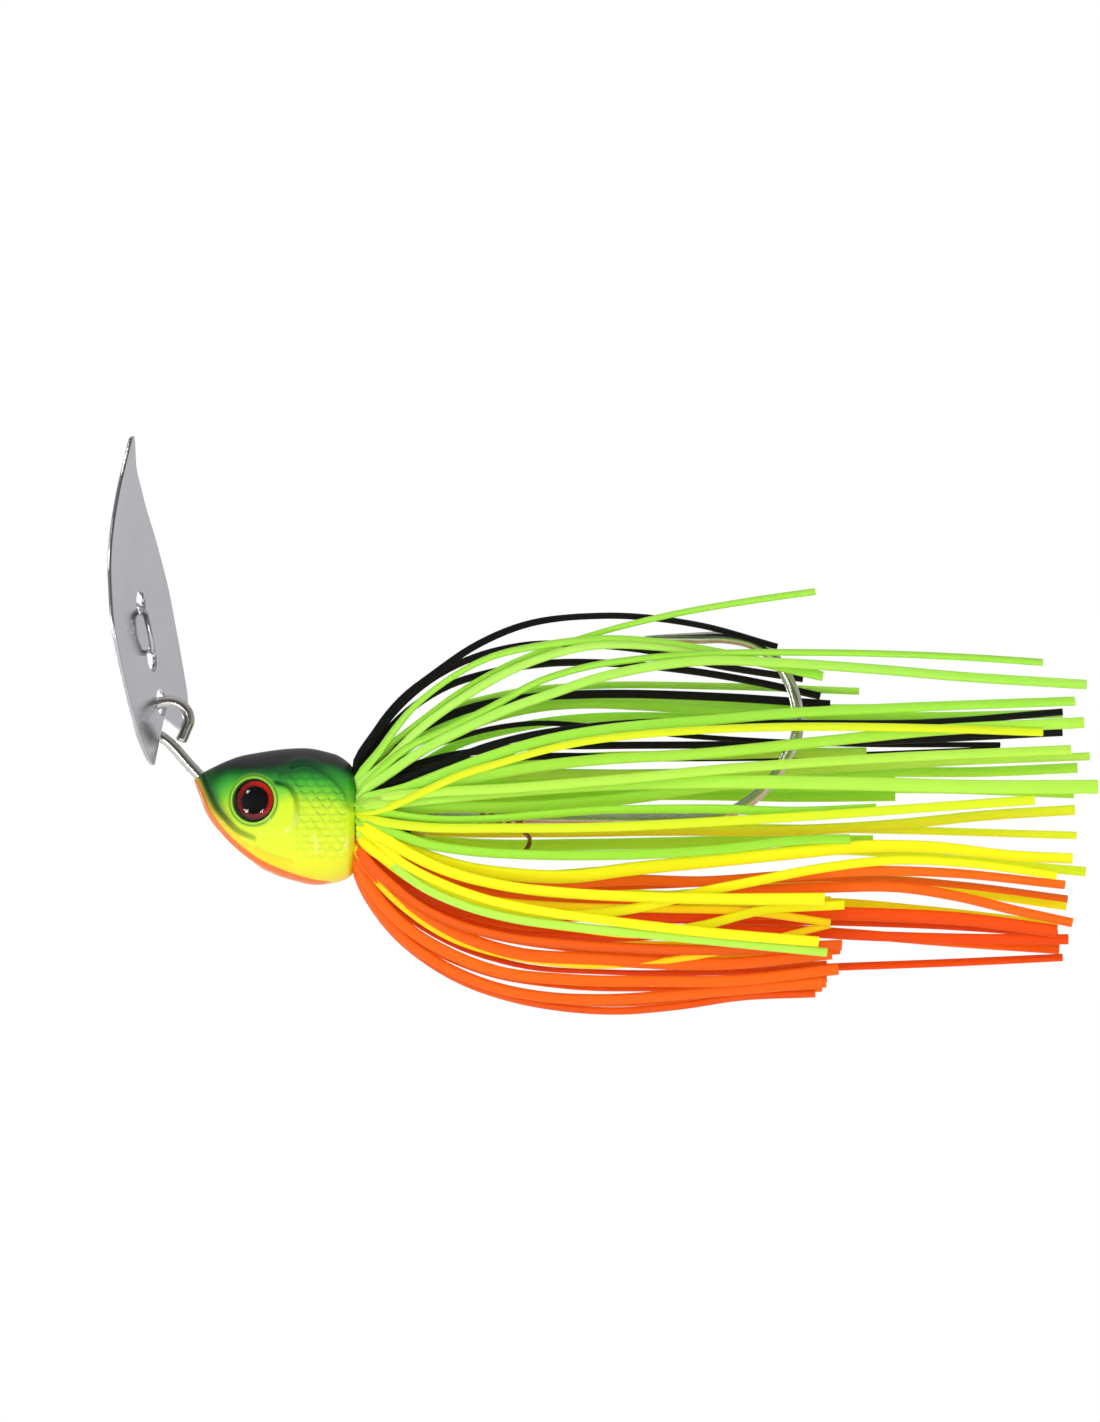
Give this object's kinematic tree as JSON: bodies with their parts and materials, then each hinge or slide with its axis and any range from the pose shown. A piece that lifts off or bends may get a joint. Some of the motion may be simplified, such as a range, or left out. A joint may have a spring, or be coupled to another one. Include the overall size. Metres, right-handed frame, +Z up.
{
  "type": "bladed jig fishing lure",
  "caption": "Bladed fishing jig: weighted fish-head hook with a silicone strand skirt and a swinging steel blade with a line snap.",
  "frame": {"origin": "centre of the hook's eye ring, on the lure's centre plane", "axes": "+X towards the tail, along the hook's shank; +Z up, the side the hook's point is on; -Y towards the lure's left side"},
  "size_m": [0.1195, 0.038, 0.0701],
  "materials": {
    "hook_steel": "bright nickel plate",
    "head_paint": "gloss airbrushed paint under clear coat",
    "eye_foil": "printed foil",
    "eye_resin": "clear domed resin",
    "keeper_bronze": "dull bronze wire",
    "band_rubber": "matt rubber",
    "silicone_black": "satin silicone",
    "silicone_lime": "satin translucent silicone",
    "silicone_green": "satin translucent silicone",
    "silicone_chartreuse": "satin translucent silicone",
    "silicone_yellow": "satin translucent silicone",
    "silicone_amber": "satin translucent silicone",
    "silicone_orange": "satin translucent silicone",
    "silicone_red_orange": "satin translucent silicone",
    "blade_steel": "polished stainless steel",
    "snap_steel": "polished stainless steel wire"
  },
  "bodies": {
    "jig": {"hook": "hook_steel", "head": "head_paint", "eye_foil_left": "eye_foil", "eye_dome_left": "eye_resin", "eye_foil_right": "eye_foil", "eye_dome_right": "eye_resin", "bait_keeper": "keeper_bronze", "skirt_band": "band_rubber", "skirt_short_black_left": "silicone_black", "skirt_short_lime_left": "silicone_lime", "skirt_short_green_left": "silicone_green", "skirt_short_yellow_left": "silicone_yellow", "skirt_short_amber_left": "silicone_amber", "skirt_short_orange_left": "silicone_orange", "skirt_long_lime_left": "silicone_lime", "skirt_long_black_left": "silicone_black", "skirt_long_green_left": "silicone_green", "skirt_long_chartreuse_left": "silicone_chartreuse", "skirt_long_yellow_left": "silicone_yellow", "skirt_long_orange_left": "silicone_orange", "skirt_long_red_orange_left": "silicone_red_orange", "skirt_short_black_right": "silicone_black", "skirt_short_lime_right": "silicone_lime", "skirt_short_green_right": "silicone_green", "skirt_short_yellow_right": "silicone_yellow", "skirt_short_amber_right": "silicone_amber", "skirt_short_orange_right": "silicone_orange", "skirt_long_lime_right": "silicone_lime", "skirt_long_black_right": "silicone_black", "skirt_long_green_right": "silicone_green", "skirt_long_chartreuse_right": "silicone_chartreuse", "skirt_long_yellow_right": "silicone_yellow", "skirt_long_orange_right": "silicone_orange", "skirt_long_red_orange_right": "silicone_red_orange"},
    "blade": {"blade": "blade_steel"},
    "snap": {"line_snap": "snap_steel"}
  },
  "joints": [
    {"name": "blade_swing", "type": "hinge", "parent": "jig", "child": "blade", "pos_m": [-0.0002, 0, 0.0001], "axis": [0, 1, 0], "range_deg": [-80, 75]},
    {"name": "snap_swing", "type": "hinge", "parent": "blade", "child": "snap", "pos_m": [-0.00273, -0.00207, 0.01083], "axis": [-0.1806, -0.2325, 0.9557], "range_deg": [0, 100]}
  ]
}
